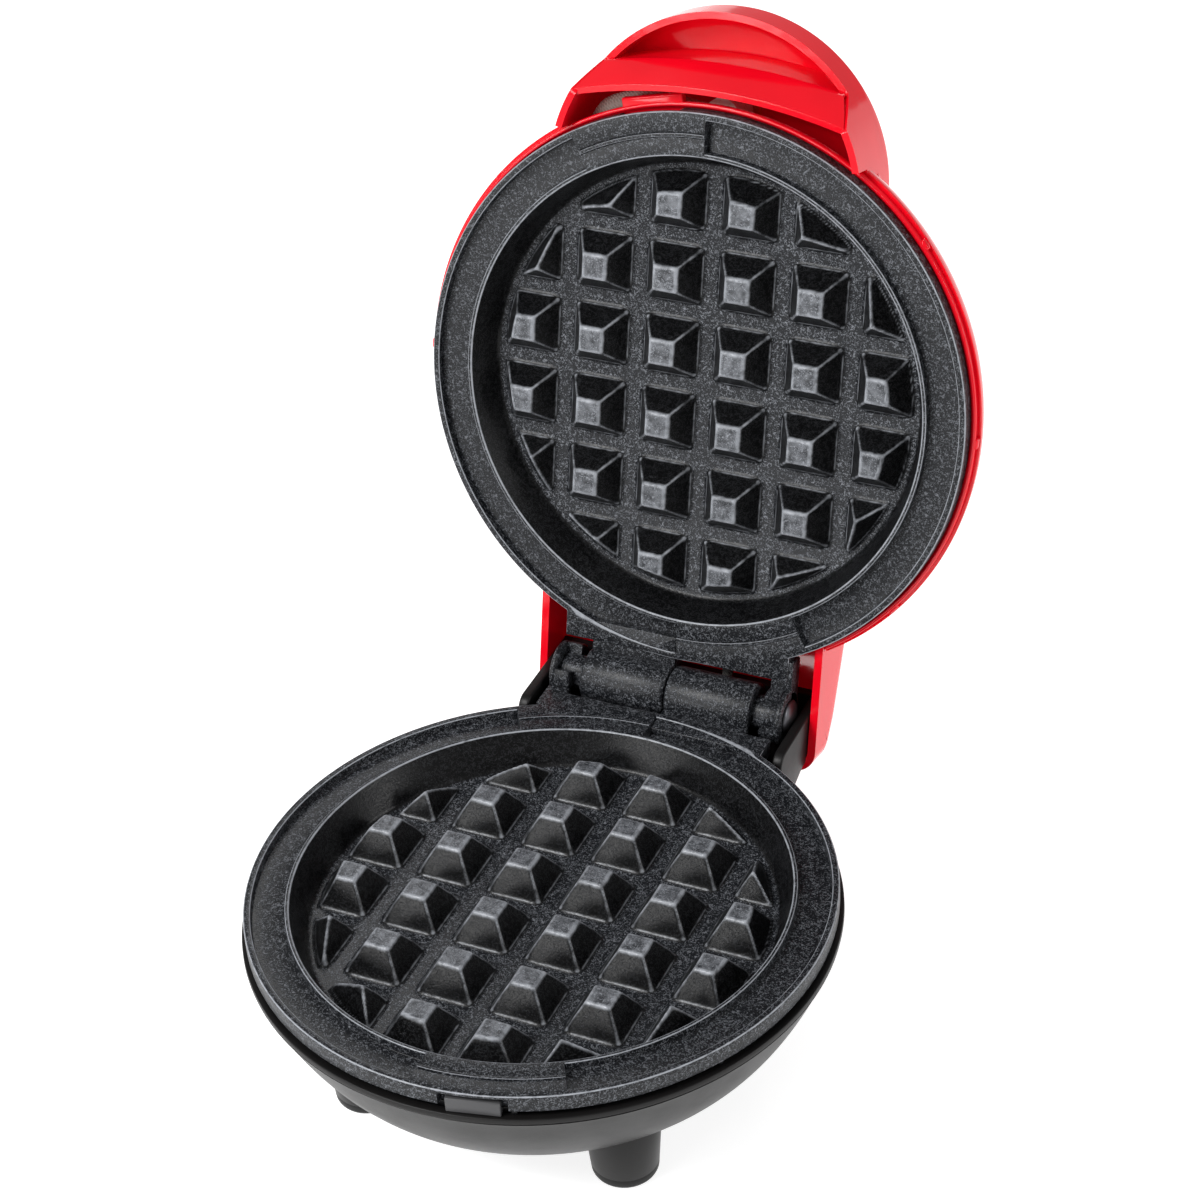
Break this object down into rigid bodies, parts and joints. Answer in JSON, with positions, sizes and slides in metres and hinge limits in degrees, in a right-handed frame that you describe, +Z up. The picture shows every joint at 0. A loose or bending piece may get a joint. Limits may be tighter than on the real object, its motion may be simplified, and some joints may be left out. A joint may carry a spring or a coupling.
{
  "type": "waffle maker",
  "caption": "Small round tabletop waffle maker standing open: black bowl base on four feet, red domed lid with a hooded finger handle, cast grid plates joined by a barrel hinge.",
  "frame": {"origin": "on the table, under the middle of the box round the waffle maker with its lid open", "axes": "+X to the right seen from the handle side, +Y towards the hinge, +Z up; the feet rest on Z = 0"},
  "size_m": [0.129, 0.1894, 0.1899],
  "materials": {
    "coated_plate": "cast aluminium with a dark speckled non-stick coating, satin",
    "red_shell": "moulded, high gloss red",
    "red_trim": "moulded, gloss red, the ring between plate and shell",
    "black_shell": "moulded, satin near-black",
    "black_trim": "moulded, gloss black",
    "foot": "soft black pad",
    "steel": "plain zinc plated fasteners and pin",
    "sheath": "heater tube, heat tinted",
    "reflector": "bright rolled sheet",
    "ceramic": "unglazed cream ceramic or phenolic",
    "wiring": "glass-fibre braided wire",
    "sleeve": "woven glass-fibre sleeve",
    "lens": "small clear lens",
    "neon": "small indicator lamp"
  },
  "bodies": {
    "base": {"base_shell": "black_shell", "base_ring": "black_trim", "foot_pads": "foot", "base_screws": "steel", "lower_plate": "coated_plate", "lower_element": "sheath", "lower_terminals": "steel", "lower_element_clips": "steel", "lower_reflector": "reflector", "lower_reflector_screws": "steel", "thermostat": "ceramic", "thermostat_bracket": "steel", "thermal_fuse": "ceramic", "terminal_block": "ceramic", "cord_gland": "black_trim", "base_leads": "wiring", "base_lead_sleeve": "wiring", "hinge_pin": "steel", "hinge_pin_clip": "steel"},
    "lid": {"lid_shell": "red_shell", "lid_ring": "red_trim", "upper_plate": "coated_plate", "upper_plate_screws": "steel", "upper_element": "sheath", "upper_terminals": "steel", "upper_element_clips": "steel", "upper_reflector": "reflector", "upper_reflector_screws": "steel", "indicator_lens": "lens", "indicator_lamp": "neon", "lamp_holder": "ceramic", "lamp_lead_sleeve": "sleeve", "lid_leads": "wiring", "lid_lead_sleeve": "wiring"}
  },
  "joints": [
    {"name": "lid_hinge", "type": "hinge", "parent": "base", "child": "lid", "pos_m": [0, 0.03927, 0.044], "axis": [1, 0, 0], "range_deg": [0, 104]}
  ]
}
